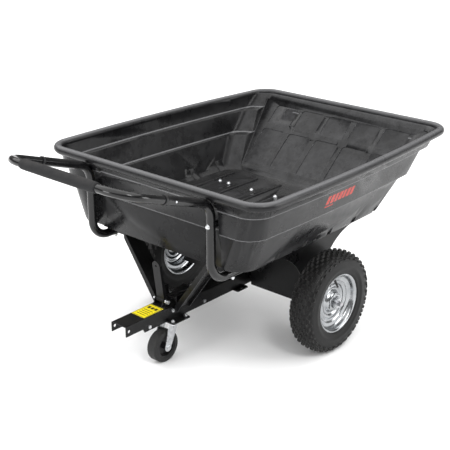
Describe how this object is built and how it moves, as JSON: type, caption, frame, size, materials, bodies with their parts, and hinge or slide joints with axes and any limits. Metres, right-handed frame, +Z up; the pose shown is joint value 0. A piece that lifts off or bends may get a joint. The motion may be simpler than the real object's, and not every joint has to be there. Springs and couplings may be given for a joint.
{
  "type": "tow behind cart",
  "caption": "Tow behind dump cart with a moulded tray on tube rails, pneumatic wheels, a latched tipping frame, a push handle and a drawbar with a swivel caster.",
  "frame": {"origin": "on the ground under the middle of the whole cart, measured over the tray's rear rim and the front of the handle", "axes": "+X across the cart, -Y along the drawbar towards the towing vehicle, +Z up"},
  "size_m": [1.0768, 1.63, 0.859],
  "materials": {
    "tray_plastic": "satin moulded polyethylene, lightly orange-peeled",
    "frame_paint": "black powder coat",
    "tube_paint": "black gloss enamel",
    "zinc": "bright zinc plate",
    "axle_steel": "bright drawn steel",
    "rim_chrome": "bright chrome-like plate with pressed rings",
    "tyre_rubber": "matt black rubber",
    "caster_rubber": "matt black rubber",
    "black_plastic": "satin black plastic",
    "nylon": "natural nylon",
    "grip_foam": "closed cell foam, dull dark grey",
    "label_yellow": "printed vinyl, plain"
  },
  "bodies": {
    "chassis": {"drawbar": "frame_paint", "drawbar_bolts": "zinc", "drawbar_nuts": "zinc", "drawbar_label": "label_yellow", "stop_plate": "frame_paint", "axle_rod": "axle_steel", "axle_spacers": "axle_steel", "axle_washers": "zinc", "axle_pins": "zinc", "latch_bracket": "frame_paint", "latch_pin": "zinc", "latch_spring": "zinc", "caster_mount_plate": "frame_paint", "caster_top_plate": "zinc", "caster_plate_bolts": "zinc", "caster_plate_nuts": "zinc"},
    "tipper": {"tray": "tray_plastic", "handle_bar": "tube_paint", "handle_collars": "black_plastic", "foam_grip": "grip_foam", "rail_end_caps": "black_plastic", "front_cross_channel": "frame_paint", "rear_cross_channels": "frame_paint", "beam_bridge": "frame_paint", "floor_bolts": "zinc", "tube_bolts": "zinc", "brace_bolts": "zinc", "tray_nuts": "zinc", "front_wall_bolts": "zinc", "bracket_bolts": "zinc", "bridge_bolts": "zinc", "frame_nuts": "zinc", "right_rail_tube": "tube_paint", "left_rail_tube": "tube_paint", "right_axle_bracket": "frame_paint", "left_axle_bracket": "frame_paint", "right_axle_beam": "frame_paint", "left_axle_beam": "frame_paint", "right_brace": "frame_paint", "left_brace": "frame_paint"},
    "latch": {"latch_lever": "frame_paint", "latch_pedal": "frame_paint"},
    "right_button": {"right_snap_button": "zinc"},
    "left_button": {"left_snap_button": "zinc"},
    "caster_swivel": {"caster_fork": "zinc", "caster_axle": "zinc", "caster_axle_nut": "zinc"},
    "caster_wheel": {"caster_tyre": "caster_rubber", "caster_core": "black_plastic", "caster_bush": "nylon"},
    "right_wheel": {"right_tyre": "tyre_rubber", "right_rim": "rim_chrome", "right_hub": "rim_chrome", "right_bearings": "axle_steel", "right_valve_stem": "caster_rubber"},
    "left_wheel": {"left_tyre": "tyre_rubber", "left_rim": "rim_chrome", "left_hub": "rim_chrome", "left_bearings": "axle_steel", "left_valve_stem": "caster_rubber"}
  },
  "joints": [
    {"name": "tip_hinge", "type": "hinge", "parent": "chassis", "child": "tipper", "pos_m": [0, 0.134, 0.2], "axis": [-1, 0, 0], "range_deg": [0, 50]},
    {"name": "latch_hinge", "type": "hinge", "parent": "chassis", "child": "latch", "pos_m": [0, -0.358, 0.25], "axis": [-1, 0, 0], "range_deg": [0, 8], "stiffness_Nm_per_rad": 4, "springref_deg": -5.73},
    {"name": "right_button_slide", "type": "slide", "parent": "tipper", "child": "right_button", "axis": [-1, 0, 0], "range_m": [0, 0.005], "stiffness_N_per_m": 600, "springref_m": -0.002},
    {"name": "left_button_slide", "type": "slide", "parent": "tipper", "child": "left_button", "axis": [1, 0, 0], "range_m": [0, 0.005], "stiffness_N_per_m": 600, "springref_m": -0.002},
    {"name": "caster_swivel_hinge", "type": "hinge", "parent": "chassis", "child": "caster_swivel", "pos_m": [0, -0.321, 0.15], "axis": [0, 0, 1], "continuous": true},
    {"name": "caster_wheel_spin", "type": "hinge", "parent": "caster_swivel", "child": "caster_wheel", "pos_m": [0, -0.356, 0.0625], "axis": [1, 0, 0], "continuous": true},
    {"name": "right_wheel_spin", "type": "hinge", "parent": "chassis", "child": "right_wheel", "pos_m": [0.403, 0.134, 0.2], "axis": [1, 0, 0], "continuous": true},
    {"name": "left_wheel_spin", "type": "hinge", "parent": "chassis", "child": "left_wheel", "pos_m": [-0.403, 0.134, 0.2], "axis": [1, 0, 0], "continuous": true}
  ]
}
